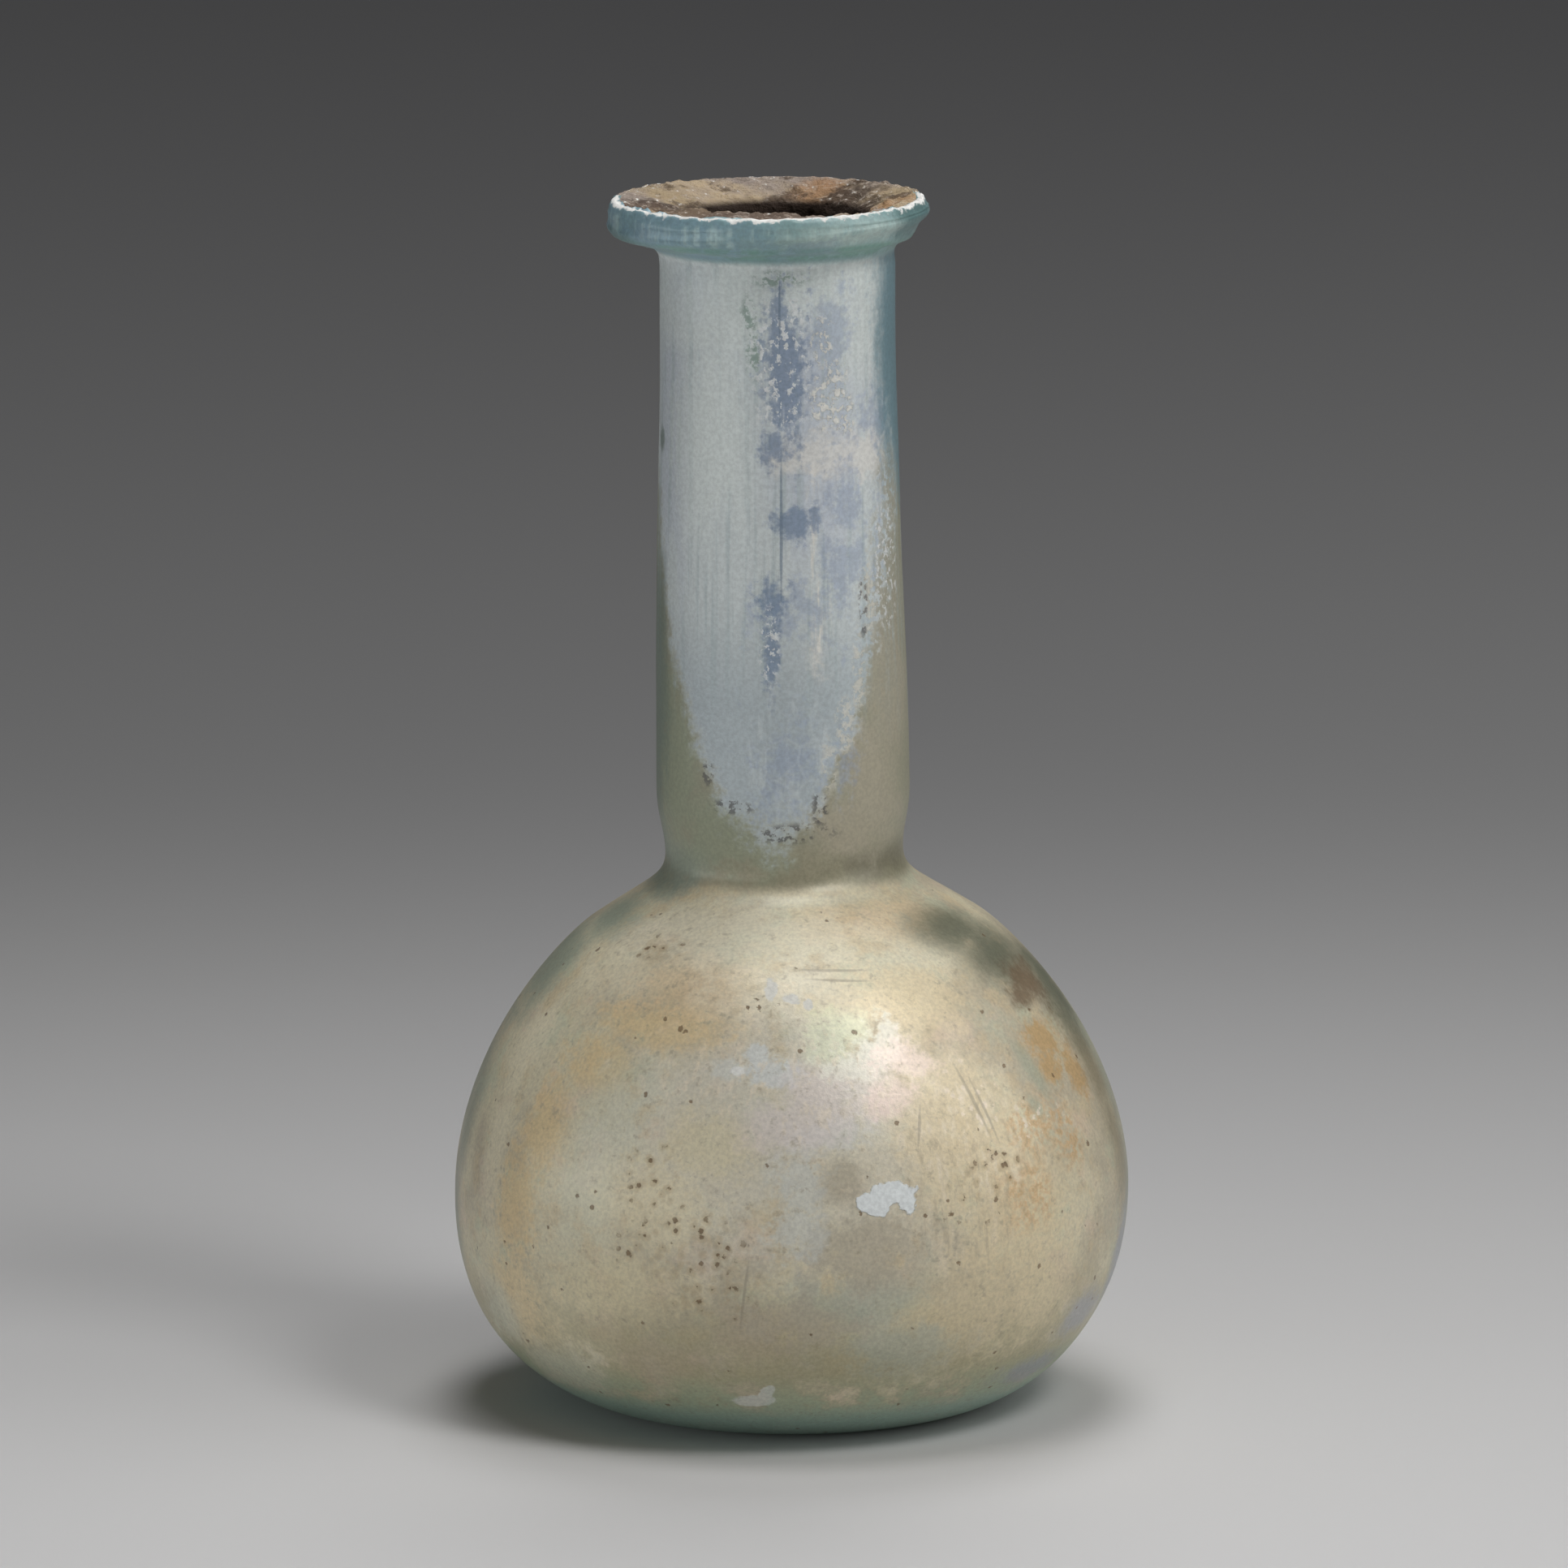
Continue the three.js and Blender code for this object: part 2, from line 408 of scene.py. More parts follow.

# The layers of the weathered film, and of painted highlights, sheen and shade, from the lowest to the
# topmost.
# A layer shows where all that it states agree: its spots, each (turn, height, half width, half height, lean)
# in degrees and mm, its height above or below a level, with the span over which it fades, and a texture that
# it shows through, with the values between which it fades. Rag and crumb break up the edge of a spot, and
# raise lifts the surface, in mm.
weatheringAndPaintedLight = {
    "creamClouds": {
        "tone": (0.84, 0.77, 0.55), "through": ("cloud", 0.42, 0.60), "below": (52, 4), "strength": 0.8,
        "metal": 0.15},
    "greyClouds": {
        "tone": (0.60, 0.60, 0.45), "through": ("cloud", 0.46, 0.34), "below": (52, 4), "strength": 0.7},
    "tanClouds": {
        "tone": (0.72, 0.57, 0.34), "through": ("mottle", 0.50, 0.64), "below": (50, 4), "strength": 0.45},
    "pinkClouds": {
        "tone": (0.84, 0.67, 0.52), "through": ("drift", 0.55, 0.67), "below": (50, 4), "strength": 0.45},
    "mintClouds": {
        "tone": (0.61, 0.69, 0.52), "through": ("drift", 0.46, 0.35), "below": (50, 4), "strength": 0.4},
    "oliveBelow": {
        "tone": (0.47, 0.43, 0.26), "below": (13, 14), "through": ("mottle", 0.3, 0.52), "strength": 0.85},
    "silverCentre": {
        "tone": (0.84, 0.80, 0.67), "spots": [(-3, 31, 12, 11), (12, 28, 9, 10), (-18, 30, 8, 8)],
        "rag": ("mottle", 3.0), "crumb": 1.2, "soft": 1.2, "strength": 0.65, "metal": 0.18, "rough": 0.42},
    "paleLeft": {
        "tone": (0.92, 0.84, 0.62), "spots": [(-64, 35, 2.2, 4.5), (-63, 26, 2, 5), (-46, 42, 6, 1.8)],
        "rag": ("mottle", 2.6), "crumb": 1.4, "soft": 1.3, "strength": 0.7},
    "warmLeft": {
        "tone": (0.84, 0.64, 0.34), "rag": ("mottle", 3.2), "crumb": 2.0, "soft": 1.2, "strength": 0.7,
        "spots": [(-41, 35, 3.4, 2.2), (-49, 29, 2.4, 4), (-54, 21.5, 2.6, 5), (-56, 13, 3, 4),
                  (-27, 38.5, 6, 1.8), (160, 32, 5, 5), (-150, 20, 4, 6)]},
    "pearlLeft": {
        "tone": (0.68, 0.69, 0.54), "spots": [(-33, 31, 4, 4.5), (-37, 24, 3.4, 5.5), (130, 24, 4, 5)],
        "rag": ("mottle", 3.0), "crumb": 1.6, "soft": 1.2, "strength": 0.4},
    "creamLow": {
        "tone": (0.82, 0.72, 0.47), "spots": [(-24, 24, 4.5, 4), (-16, 29, 4, 3), (-30, 16, 6, 3)],
        "rag": ("mottle", 3.4), "crumb": 1.6, "soft": 1.2, "strength": 0.6},
    "orangeTop": {
        "tone": (0.82, 0.62, 0.38), "spots": [(20, 46.3, 4, 1.4), (42, 46, 5, 1.6), (-22, 41.5, 6, 2.2)],
        "rag": ("mottle", 3.0), "crumb": 1.6, "soft": 1.2, "strength": 0.6},
    "shoulderLight": {
        "tone": (0.96, 0.90, 0.70), "rag": ("mottle", 3.0), "crumb": 1.2, "soft": 1.2, "strength": 0.6,
        "spots": [(-10, 45.5, 10, 2.2), (4, 41, 8, 2), (-46, 45, 4, 1.6), (34, 43, 5, 2), (165, 44, 8, 2)]},
    "creamRight": {
        "tone": (0.85, 0.71, 0.46), "spots": [(31, 29, 6, 8), (42, 21, 6, 6), (28, 40, 6, 3)],
        "rag": ("mottle", 3.0), "crumb": 1.4, "soft": 1.2, "strength": 0.7, "metal": 0.2},
    "goldRight": {
        "tone": (0.64, 0.41, 0.17), "spots": [(63, 34.8, 3, 1.9), (69, 31.5, 1.6, 2.6), (60, 33, 2, 1.6)],
        "rag": ("mottle", 3.6), "crumb": 2.4, "soft": 1.1, "strength": 0.75, "metal": 0.2},
    "goldGrains": {
        "tone": (0.75, 0.51, 0.26), "spots": [(49, 28.5, 4.4, 2.4), (57, 27, 3, 3), (44, 23, 3, 3)],
        "rag": ("mottle", 3.0), "through": ("fine", 0.40, 0.60), "soft": 1.2, "strength": 0.8},
    "greyStreak": {
        "tone": (0.46, 0.48, 0.36), "spots": [(54, 33, 0.9, 2.6, -20), (51, 30, 0.7, 1.2, -30)],
        "rag": ("mottle", 2.4), "soft": 1.2, "strength": 0.7},
    # Painted edge shade, with the glass's own green tone: the belly darker towards its left and right edges
    # as seen from the front.
    "limbGreen": {
        "tone": (0.33, 0.37, 0.30), "deep": 7, "rag": ("mottle", 1.6), "soft": 1.7, "strength": 0.7,
        "spots": [(87, 29, 3.6, 8), (85, 20, 3.6, 7), (84, 12, 4, 4.5), (-90, 31, 4.5, 7),
                  (-82, 27, 2.4, 6), (-84, 19, 2.6, 6)],
        "clear": 0.22},
    "limbBrown": {
        "tone": (0.33, 0.28, 0.18), "spots": [(79, 31, 2.6, 5), (79, 24, 2.8, 6)],
        "rag": ("mottle", 2.0), "soft": 1.6, "strength": 0.85},
    "darkShoulder": {
        "tone": (0.20, 0.215, 0.15), "rag": ("mottle", 1.6), "crumb": 0.8, "soft": 1.7, "strength": 0.9,
        "spots": [(60, 44.6, 4.4, 1.8), (69, 42, 5, 2.8), (86, 38, 5, 5), (205, 44, 5, 2)], "clear": 0.3},
    "brownSpot": {
        "tone": (0.21, 0.14, 0.08), "spots": [(72, 39.3, 2.6, 1.6), (66, 38.6, 2.6, 1.2)],
        "rag": ("mottle", 3.0), "crumb": 2.0, "soft": 1.5, "strength": 0.8},
    "greenLeft": {
        "tone": (0.33, 0.41, 0.33), "spots": [(-76, 45.5, 4, 2), (-84, 41, 5, 5), (-76, 48.7, 5, 1.6)],
        "rag": ("mottle", 2.0), "crumb": 1.0, "soft": 1.5, "strength": 0.75, "clear": 0.3},
    "footTan": {
        "tone": (0.78, 0.66, 0.43), "spots": [(30, 13, 6, 4.5), (47, 13, 5, 4), (-54, 12, 4, 4.5)],
        "rag": ("mottle", 3.0), "crumb": 1.6, "soft": 1.3, "strength": 0.6},
    "pinkFoot": {
        "tone": (0.54, 0.45, 0.31), "spots": [(-6, 12.5, 3.4, 3), (-24, 9, 4, 2)],
        "rag": ("mottle", 3.0), "crumb": 1.6, "soft": 1.2, "strength": 0.6},
    "greenPatch": {
        "tone": (0.45, 0.49, 0.41), "spots": [(11, 15, 5.4, 2.4), (20, 10, 5, 2.4), (150, 14, 5, 3)],
        "rag": ("mottle", 3.0), "crumb": 1.4, "soft": 1.2, "strength": 0.6},
    "greenFoot": {
        "tone": (0.50, 0.60, 0.43), "below": (6.5, 4), "through": ("mottle", 0.36, 0.56), "strength": 0.75,
        "clear": 0.2},
    "tealFoot": {
        "tone": (0.46, 0.66, 0.57), "below": (3.6, 3), "strength": 0.8, "clear": 0.35, "metal": 0.0},
    "paleFoot": {
        "tone": (0.66, 0.66, 0.52), "spots": [(-50, 6.5, 5, 2.6), (-62, 11, 3, 3)],
        "rag": ("mottle", 2.6), "soft": 1.2, "strength": 0.7},
    "violetFoot": {
        "tone": (0.38, 0.40, 0.46), "spots": [(56, 5.4, 5, 1.3), (66, 9.5, 3.4, 2.2), (80, 14, 2.4, 4)],
        "rag": ("mottle", 2.4), "soft": 1.2, "strength": 0.7},
    "taupePatch": {
        "tone": (0.54, 0.48, 0.36), "spots": [(9, 26, 2.6, 2.2), (12, 19.5, 4.5, 3), (2, 13, 4, 2.4)],
        "rag": ("mottle", 3.4), "crumb": 1.6, "soft": 0.9, "strength": 0.75},
    "paleBloom": {
        "tone": (0.76, 0.79, 0.75), "rag": ("mottle", 4.0), "crumb": 2.4, "soft": 1.1, "strength": 0.5,
        "spots": [(-12, 35.5, 1.3, 0.8), (2, 26.5, 2.2, 2.8), (10, 30, 2.6, 1.4), (0, 22, 2.4, 2.2),
                  (-140, 28, 3, 4), (175, 30, 3, 2)]},
    "bloomSpot": {
        "tone": (0.78, 0.83, 0.84), "rag": ("mottle", 3.0), "crumb": 2.0, "soft": 0.6, "strength": 0.6,
        "spots": [(-3.5, 35.2, 2.2, 1.5), (-6, 36.6, 1.2, 1.0), (185, 34, 2, 1)]},
    # Painted highlight: lilac, green, white and pink tints laid where the key lamp's highlight falls on the
    # belly.
    "lilacGlint": {
        "tone": (0.90, 0.80, 0.77), "spots": [(7, 32.5, 4.5, 3), (-1, 31, 3, 2)],
        "rag": ("mottle", 3.4), "crumb": 1.6, "soft": 1.2, "strength": 0.55, "metal": 0.2},
    "greenGlint": {
        "tone": (0.88, 0.95, 0.68), "spots": [(13, 38.2, 2.8, 1.6), (10, 36.8, 2.4, 1.2)],
        "rag": ("mottle", 3.4), "crumb": 1.6, "soft": 1.1, "strength": 0.5, "metal": 0.2},
    "whiteGlint": {
        "tone": (0.96, 0.93, 0.80),
        "spots": [(18, 36.2, 2.8, 1.6), (21, 37.6, 1.4, 1.6, 30), (14, 35.2, 2.6, 0.8)],
        "rag": ("mottle", 4.4), "crumb": 2.4, "soft": 1.0, "strength": 0.8, "metal": 0.12, "rough": 0.46},
    "pinkGlint": {
        "tone": (0.98, 0.80, 0.70), "spots": [(24, 35.6, 2.4, 1.9), (21, 33, 2.4, 1.3, -25)],
        "rag": ("mottle", 4.0), "crumb": 2.0, "soft": 1.1, "strength": 0.7, "metal": 0.16},
    "brushedLight": {
        "tone": (0.95, 0.84, 0.66), "spots": [(31, 28, 7, 9), (0, 34, 14, 4)],
        "through": ("brush", 0.52, 0.64), "rag": ("mottle", 2.4), "soft": 1.2, "strength": 0.5},
    "brushedDark": {
        "tone": (0.50, 0.42, 0.29), "spots": [(34, 26, 8, 8)],
        "through": ("brush", 0.46, 0.36), "rag": ("mottle", 2.4), "soft": 1.2, "strength": 0.45},
    "lightBeads": {
        "tone": (0.96, 0.84, 0.68), "spots": [(48, 28.8, 4.5, 1.8), (36, 31, 3, 5)],
        "through": ("dots", 0.30, 0.16), "soft": 1.0, "strength": 0.7},
    "finePepper": {
        "tone": (0.34, 0.28, 0.18), "below": (48, 4), "through": ("fine", 0.57, 0.68), "strength": 0.3},
    "scratches": {
        "tone": (0.40, 0.35, 0.26), "soft": 1.0, "crumb": 0.6, "strength": 0.6, "deep": 3, "raise": -0.03,
        "spots": [(36.5, 31.5, 0.16, 3.4, -16), (38.5, 30.5, 0.14, 2.6, -14), (24, 30, 0.14, 1.6, 14),
                  (12, 43, 2.8, 0.1, 2), (14, 42.2, 2.4, 0.1, 3), (-8, 16, 0.12, 3, 8)]},
    "throatBrown": {
        "tone": (0.37, 0.35, 0.24), "above": (48.9, 1.2), "below": (53, 4), "strength": 0.85, "clear": 0.15},
    "throatGreen": {
        "tone": (0.38, 0.45, 0.37), "spots": [(-60, 51, 4, 3), (-76, 54, 3, 4)],
        "rag": ("mottle", 2.0), "soft": 1.3, "strength": 0.75},
    # Painted shade on the right of the throat crease, then a painted highlight arc along the shoulder just
    # below it.
    "throatShade": {
        "tone": (0.19, 0.18, 0.12), "spots": [(48, 50.6, 4, 1.6), (64, 51, 3, 2)],
        "rag": ("mottle", 1.6), "soft": 1.4, "strength": 0.7},
    "throatLight": {
        "tone": (0.84, 0.85, 0.70), "spots": [(5, 47.9, 6.5, 0.42)], "soft": 0.9, "rag": ("streak", 1.2),
        "strength": 0.3},
    "neckOlive": {
        "tone": (0.43, 0.42, 0.30), "above": (52.2, 3), "strength": 1.0, "clear": 0.2, "metal": 0.08},
    "neckGreen": {
        "tone": (0.43, 0.48, 0.34), "spots": [(-26, 54, 5, 4), (-58, 60, 4, 8), (150, 58, 6, 5)],
        "rag": ("mottle", 3.0), "soft": 1.0, "strength": 0.7, "clear": 0.2},
    "neckBeige": {
        "tone": (0.52, 0.47, 0.36), "spots": [(46, 58, 4.5, 6), (32, 55, 4, 3), (60, 67, 3.5, 7)],
        "rag": ("mottle", 2.6), "soft": 1.0, "strength": 0.7},
    "milkyFilm": {
        "tone": (0.75, 0.81, 0.81), "spots": [(-4, 101, 12.1, 47.2)], "deep": 26,
        "rag": ("mottle", 0.22), "crumb": 0.14, "soft": 0.1, "strength": 0.96, "rough": 0.42, "clear": 0.05},
    "filmThin": {
        "tone": (0.49, 0.56, 0.59), "spots": [(-4, 101, 11.8, 46.9)], "deep": 26, "below": (71, 12),
        "rag": ("mottle", 0.22), "crumb": 0.14, "soft": 0.1, "strength": 0.8},
    "filmLilac": {
        "tone": (0.62, 0.67, 0.79), "spots": [(-62, 90, 3, 10), (-50, 102, 3, 3), (20, 92, 6, 10)],
        "rag": ("wipe", 3.0), "soft": 1.2, "strength": 0.5},
    "filmWisps": {
        "tone": (0.70, 0.76, 0.77), "spots": [(4, 62, 5, 7)], "through": ("brush", 0.50, 0.62),
        "soft": 1.0, "strength": 0.6},
    "filmStreaks": {
        "tone": (0.50, 0.59, 0.60), "above": (66, 12), "through": ("streak", 0.50, 0.64), "strength": 0.55},
    # Painted sheen and painted light on the milky neck film: lighter patches where lamps reflect, and under
    # the rim where its shadow falls.
    "filmLight": {
        "tone": (0.86, 0.92, 0.88), "rag": ("wipe", 3.0), "crumb": 1.4, "soft": 1.0, "strength": 0.6,
        "spots": [(-11, 101, 1.4, 7), (30, 103, 7, 3.2), (41, 99, 3.5, 6), (-35, 90, 5, 8),
                  (-44, 101, 6, 4), (-18, 102, 3, 5), (170, 96, 6, 7)]},
    "creamNeck": {
        "tone": (0.92, 0.90, 0.84), "spots": [(17, 88.4, 4, 1.8), (36, 88.2, 4, 2.2), (54, 88, 3, 1.8),
                                              (200, 90, 4, 2)],
        "rag": ("mottle", 3.0), "crumb": 1.2, "soft": 0.8, "strength": 0.75},
    "creamStreaks": {
        "tone": (0.97, 0.94, 0.86), "spots": [(17, 82, 1.4, 5), (19, 75, 1.4, 5), (13, 78, 1.2, 4)],
        "rag": ("mottle", 3.0), "through": ("wipe", 0.44, 0.56), "soft": 0.9, "strength": 0.9},
    "edgeGranules": {
        "tone": (0.47, 0.45, 0.35), "spots": [(64, 84, 1.8, 4), (60, 76, 2.6, 6), (54, 68, 2.6, 5)],
        "rag": ("mottle", 3.0), "through": ("fine", 0.42, 0.53), "soft": 1.2, "strength": 0.85},
    "slatePale": {
        "tone": (0.39, 0.47, 0.61), "rag": ("wipe", 4.0), "crumb": 3.4, "soft": 1.2, "strength": 0.55,
        "through": ("mottle", 0.40, 0.54),
        "spots": [(38, 80, 2.2, 6.5), (27, 99, 2.2, 4), (47, 91.3, 3, 2.4), (8, 73.5, 3, 2.2), (4, 61, 4, 4),
                  (175, 90, 2.4, 8), (-150, 84, 2, 6)]},
    "slateFilm": {
        "tone": (0.22, 0.31, 0.46), "rag": ("wipe", 4.0), "crumb": 2.6, "soft": 0.9, "strength": 0.75,
        "spots": [(1, 96, 2.2, 6.5), (-2, 89.2, 1.5, 1.8), (4, 82.3, 1.5, 1.1), (17, 82.5, 0.4, 1.2),
                  (-3, 75, 1.0, 2.0), (-4, 70.5, 0.8, 4.6), (170, 94, 1.4, 5)]},
    "sparkle": {
        "tone": (0.94, 0.96, 0.95), "spots": [(2, 96.5, 2.6, 6.5), (-5, 71, 0.9, 3.5), (60, 78, 2, 6)],
        "through": ("crumbs", 0.55, 0.61), "soft": 0.8, "strength": 0.9, "raise": 0.04},
    "granules": {
        "tone": (0.93, 0.92, 0.85), "spots": [(25, 94, 1.7, 3.0), (22, 98.5, 1.3, 2.6), (34, 91.5, 1, 2),
                                              (155, 95, 1.5, 3)],
        "rag": ("mottle", 2.4), "through": ("crumbs", 0.50, 0.56), "soft": 0.5, "strength": 0.9,
        "rough": 0.7, "raise": 0.09},
    "darkLine": {
        "tone": (0.20, 0.27, 0.36), "spots": [(1, 81.5, 0.13, 6.3), (1, 101, 0.1, 3)], "deep": 3,
        "crumb": 0.7, "soft": 0.8, "strength": 0.7},
    # Painted edge shade, with the glass's own teal tone: the neck darker at its right and left edges as seen
    # from the front. The small second spot on the left is a real dark mark.
    "tealEdge": {
        "tone": (0.24, 0.43, 0.50), "spots": [(82, 98, 4.4, 12)], "deep": 9,
        "rag": ("wipe", 1.6), "soft": 0.8, "strength": 0.9, "clear": 0.4},
    "darkEdge": {
        "tone": (0.24, 0.32, 0.27), "spots": [(-84, 66, 3.6, 13), (-76, 88.7, 0.8, 1.1)], "deep": 7,
        "rag": ("wipe", 1.6), "soft": 0.9, "strength": 0.7, "clear": 0.35},
    "tongueLight": {
        "tone": (0.80, 0.78, 0.69), "rag": ("mottle", 2.0), "through": ("fine", 0.48, 0.56), "soft": 0.6,
        "spots": [(22, 59.5, 0.9, 2.6), (30, 63.5, 0.9, 2.6), (38, 68, 0.8, 4), (45, 75, 0.8, 4)],
        "strength": 0.7, "raise": 0.03},
    "tongueDark": {
        "tone": (0.10, 0.10, 0.11), "rag": ("mottle", 2.0), "through": ("fine", 0.51, 0.57), "soft": 0.6,
        "spots": [(4, 54.0, 3.4, 0.9), (-22, 56.4, 2.4, 0.7), (17, 56.2, 0.8, 1.7), (-36, 59.2, 0.9, 1.4),
                  (42, 74, 0.5, 3)],
        "strength": 0.75},
    "crackle": {
        "tone": (0.74, 0.79, 0.80), "spots": [(5, 61, 4, 5)], "through": ("crackle", 0.07, 0.02),
        "soft": 1.6, "strength": 0.22},
    "neckMint": {
        "tone": (0.26, 0.38, 0.32), "spots": [(-2, 104.2, 2.6, 0.7), (-14, 101, 0.7, 1.8), (-12, 97, 0.6, 2)],
        "rag": ("mottle", 3.0), "through": ("fine", 0.46, 0.56), "soft": 0.9, "strength": 0.75},
    "rimTeal": {
        "tone": (0.35, 0.55, 0.55), "above": (105.6, 0.8), "strength": 1.0, "clear": 0.3, "rough": 0.3,
        "metal": 0.0},
    "rimBlue": {
        "tone": (0.33, 0.53, 0.66), "above": (105.8, 0.8), "spots": [(-48, 108.5, 8, 4), (-80, 108.5, 6, 4)],
        "deep": 8, "rag": ("mottle", 2.0), "soft": 1.2, "strength": 0.75, "clear": 0.3},
    # Painted highlight: a lighter streaked line along the middle of the rim band.
    "rimLight": {
        "tone": (0.70, 0.88, 0.84), "above": (107.4, 1.0), "below": (109.3, 0.6),
        "through": ("streak", 0.46, 0.62), "strength": 0.5},
    "rimMint": {
        "tone": (0.66, 0.80, 0.73), "spots": [(34, 108.4, 7, 1.2)], "deep": 8, "rag": ("mottle", 2.0),
        "through": ("mottle", 0.36, 0.56), "soft": 1.2, "strength": 0.7},
    "rimGreen": {
        "tone": (0.20, 0.42, 0.33), "above": (106.0, 0.5), "below": (107.3, 0.5),
        "through": ("mottle", 0.36, 0.52), "strength": 0.7},
    "rimSlate": {
        "tone": (0.25, 0.36, 0.46), "above": (106.4, 0.6), "through": ("drift", 0.54, 0.62), "strength": 0.4},
    "rimDark": {
        "tone": (0.11, 0.21, 0.21), "spots": [(72, 109.2, 4.5, 2.2), (-72, 107.2, 4, 0.8)],
        "deep": 5, "radius": 14.4, "rag": ("mottle", 2.0), "soft": 1.0, "strength": 0.8},
    "pitHalos": {
        "tone": (0.50, 0.37, 0.19), "soft": 1.2, "through": ("dots", 0.62, 0.30), "strength": 0.4,
        "rag": ("mottle", 3.0),
        "spots": [(-24, 25.8, 3, 2.8), (-18, 20, 5, 2.6), (-15, 16.4, 3.8, 2.2), (38, 25, 4, 3),
                  (-41, 44.3, 2.6, 0.9), (172, 24, 4, 3), (-145, 31, 3, 2)]},
    "pits": {
        "tone": (0.19, 0.115, 0.05), "soft": 0.8, "through": ("dots", 0.24, 0.12), "strength": 0.85,
        "rag": ("mottle", 2.4), "raise": -0.08,
        "spots": [(-24, 25.8, 2.8, 2.6), (-18, 20, 5, 2.4), (-15, 16.4, 3.8, 2.2), (-25, 20, 3, 2),
                  (38, 26, 2.4, 1.8), (-41, 44.3, 2.6, 0.9), (-7, 40.6, 1.6, 0.6), (34, 22.5, 4, 1.6),
                  (172, 24, 4, 2.4), (-145, 31, 3, 1.6), (118, 19, 3, 2)]},
    "strayPits": {
        "tone": (0.22, 0.14, 0.07), "below": (49, 4), "through": ("specks", 0.085, 0.05), "strength": 0.8,
        "raise": -0.06},
    "chalkFlakes": {
        "tone": (0.80, 0.84, 0.84), "rag": ("mottle", 2.0), "crumb": 0.5, "soft": 0.12, "strength": 0.96,
        "rough": 0.85, "raise": 0.14, "clear": 0.0, "metal": 0.0,
        "spots": [(17.5, 24.7, 2.5, 1.1), (13.8, 23.9, 1.5, 0.9, 25), (20, 24.1, 1.0, 1.4, -20),
                  (196, 17, 1.4, 0.8)]},
    "faintFlake": {
        "tone": (0.80, 0.82, 0.78), "rag": ("mottle", 1.4), "crumb": 0.8, "soft": 0.3, "strength": 0.65,
        "rough": 0.8, "spots": [(-7, 5.2, 2.1, 0.55), (-4.8, 6.1, 0.55, 1.0, 35)]},
    "chalkTraces": {
        "tone": (0.84, 0.84, 0.80), "rag": ("mottle", 3.0), "crumb": 1.6, "soft": 0.4, "strength": 0.8,
        "spots": [(-4, 41.6, 0.5, 0.9), (1, 41, 0.7, 0.3), (-10, 35.3, 0.6, 0.3), (5, 40.5, 0.3, 0.3)],
        "rough": 0.8},
}

soilPatches = {  # layers of the same kind on the soil, at their own radius
    "tanLeft": {
        "tone": (0.43, 0.33, 0.19), "spots": [(-122, 109.4, 3, 2), (112, 109.6, 2.6, 2)],
        "radius": 11.5, "rag": ("mottle", 2.4), "soft": 1.2, "strength": 0.8},
    "rust": {
        "tone": (0.38, 0.20, 0.08), "spots": [(157, 109.4, 2.2, 2), (90, 109.4, 2, 2)],
        "radius": 10.2, "rag": ("mottle", 2.4), "soft": 1.2, "strength": 0.75},
    # Painted shadow inside the mouth, where the near rim shades the far wall.
    "mouthShadowPaint": {
        "tone": (0.05, 0.03, 0.02), "spots": [(134, 108.8, 3, 2), (116, 108.6, 2, 1), (-92, 109.4, 2, 2)],
        "radius": 10.2, "rag": ("mottle", 2.4), "soft": 1.0, "strength": 0.85},
    "nearBrown": {
        "tone": (0.11, 0.07, 0.045), "spots": [(-68, 109.4, 4.5, 2), (-35, 109.4, 5, 2), (0, 109.4, 5, 2)],
        "radius": 11, "rag": ("mottle", 2.0), "soft": 1.0, "strength": 0.85},
}

soilSpecks = [  # texture, the values between which it fades in, strength, tone
    ("mottle", 0.50, 0.40, 0.8, mouth["soilDark"]),
    ("fine", 0.52, 0.62, 0.5, mouth["soilCrumb"]),
    ("fine", 0.64, 0.69, 1.0, mouth["chalkTone"]),
]


def roughen(tree, value, texture, amount):
    return sums(tree, "MULTIPLY_ADD", sums(tree, "SUBTRACT", texture, 0.5), amount, value)


def agree(tree, mask, other):
    return other if mask is None else sums(tree, "MULTIPLY", mask, other)


def makeTextures(tree, place):
    textures = {}
    for name, (scale, detail, rough, stretch) in grains.items():
        local = addNode(tree, "Mapping", {"Vector": place, "Scale": stretch})
        made = addNode(tree, "TexNoise", {
            "Vector": local.outputs[0], "Scale": scale, "Detail": detail, "Roughness": rough})
        textures[name] = made.outputs["Fac"]
    for name, (scale, feature, uneven) in cells.items():
        made = addNode(tree, "TexVoronoi", {"Vector": place, "Scale": scale}, feature=feature)
        textures[name] = roughen(tree, made.outputs["Distance"], textures["fine"], uneven)
    return textures


def spotsMask(tree, layer, textures, place):
    mask = None
    wide = 4  # how far out, in spot sizes, the distance from a spot is known
    for turn, up, halfWide, halfTall, *lean in layer["spots"]:
        deep = max(halfWide, layer["deep"])
        local = addNode(tree, "Mapping", {
            "Vector": place, "Location": onSkin(turn, up, layer["radius"]),
            "Rotation": (0, math.radians(sum(lean)), math.radians(turn)),
            "Scale": [wide * size * mm for size in (halfWide, deep, halfTall)]}, vector_type="TEXTURE")
        made = addNode(tree, "TexGradient", {"Vector": local.outputs[0]}, gradient_type="SPHERICAL")
        near = made.outputs["Fac"]
        mask = near if mask is None else sums(tree, "MAXIMUM", mask, near)
    if mask is None:
        return None
    distance = sums(tree, "MULTIPLY_ADD", mask, -wide, wide)
    for name, amount in (layer["rag"], ("fine", layer["crumb"])):
        distance = roughen(tree, distance, textures[name], amount)
    return fade(tree, distance, 1 + layer["soft"] / 2, 1 - layer["soft"] / 2)


